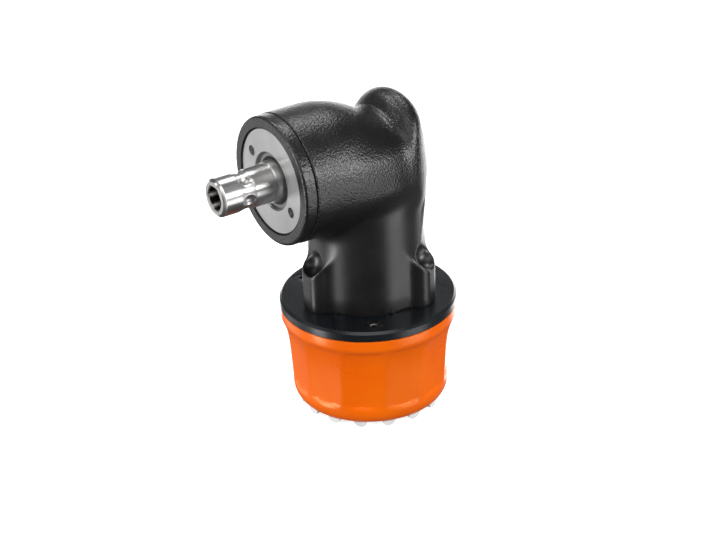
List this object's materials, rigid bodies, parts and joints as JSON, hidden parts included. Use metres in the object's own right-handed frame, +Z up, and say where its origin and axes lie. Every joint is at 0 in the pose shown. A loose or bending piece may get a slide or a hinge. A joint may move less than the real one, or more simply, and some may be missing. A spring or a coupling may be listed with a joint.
{
  "type": "right angle attachment",
  "caption": "Angle drive attachment: a textured gear head on a round cover plate turns the drive through a right angle to a short hex spindle, above a twist locking sleeve and toothed collar.",
  "frame": {"origin": "on the machine axis, at the tips of the indexing teeth on which the attachment stands", "axes": "+Z up along the machine axis towards the gear head, +X along the output spindle towards its nose, +Y completes the right-handed frame"},
  "size_m": [0.0747, 0.052, 0.0965],
  "materials": {
    "textured_black": "coarse textured black coating",
    "plate_black": "satin blue-black coating",
    "orange_plastic": "smooth orange, slightly glossy",
    "pale_collar": "pale grey, matt",
    "seal_rubber": "black, matt",
    "bush_bronze": "sintered bronze",
    "cage_brass": "pressed brass",
    "polished_balls": "polished",
    "race_steel": "ground",
    "black_steel": "black oxide",
    "turned_nut": "turned face",
    "ground_spindle": "ground",
    "gear_steel": "cut and hardened",
    "plain_steel": "plain"
  },
  "bodies": {
    "housing": {"bearing_nut": "turned_nut", "bore_circlip": "plain_steel", "cover_plate": "plate_black", "cover_screws": "black_steel", "front_bearing_outer_race": "race_steel", "front_ring": "textured_black", "gear_housing": "textured_black", "housing_screws": "black_steel", "index_collar": "pale_collar", "input_seal": "seal_rubber", "lower_bearing_outer_race": "race_steel", "outer_spacer": "plain_steel", "rear_bush": "bush_bronze", "shaft_seal": "seal_rubber", "upper_bearing_outer_race": "race_steel"},
    "spindle": {"output_spindle": "ground_spindle", "crown_gear": "gear_steel", "gear_key": "plain_steel", "spindle_circlip": "plain_steel", "front_bearing_inner_race": "race_steel", "front_bearing_balls": "polished_balls", "front_bearing_cage": "cage_brass"},
    "pinion": {"pinion_shaft": "gear_steel", "shaft_circlip": "plain_steel", "inner_spacer": "plain_steel", "upper_bearing_inner_race": "race_steel", "upper_bearing_balls": "polished_balls", "upper_bearing_cage": "cage_brass", "lower_bearing_inner_race": "race_steel", "lower_bearing_balls": "polished_balls", "lower_bearing_cage": "cage_brass"},
    "sleeve": {"locking_sleeve": "orange_plastic", "locking_ring": "plain_steel", "bayonet_pins": "plain_steel"}
  },
  "joints": [
    {"name": "spindle_spin", "type": "hinge", "parent": "housing", "child": "spindle", "pos_m": [0, 0, 0.0778], "axis": [1, 0, 0], "continuous": true},
    {"name": "pinion_spin", "type": "hinge", "parent": "housing", "child": "pinion", "pos_m": [0, 0, 0.05], "axis": [0, 0, 1], "continuous": true},
    {"name": "sleeve_turn", "type": "hinge", "parent": "housing", "child": "sleeve", "pos_m": [0, 0, 0.016], "axis": [0, 0, 1], "range_deg": [0, 30]}
  ],
  "couplings": [
    {"joint": "pinion_spin", "follows": "spindle_spin", "ratio": -1.5455}
  ]
}
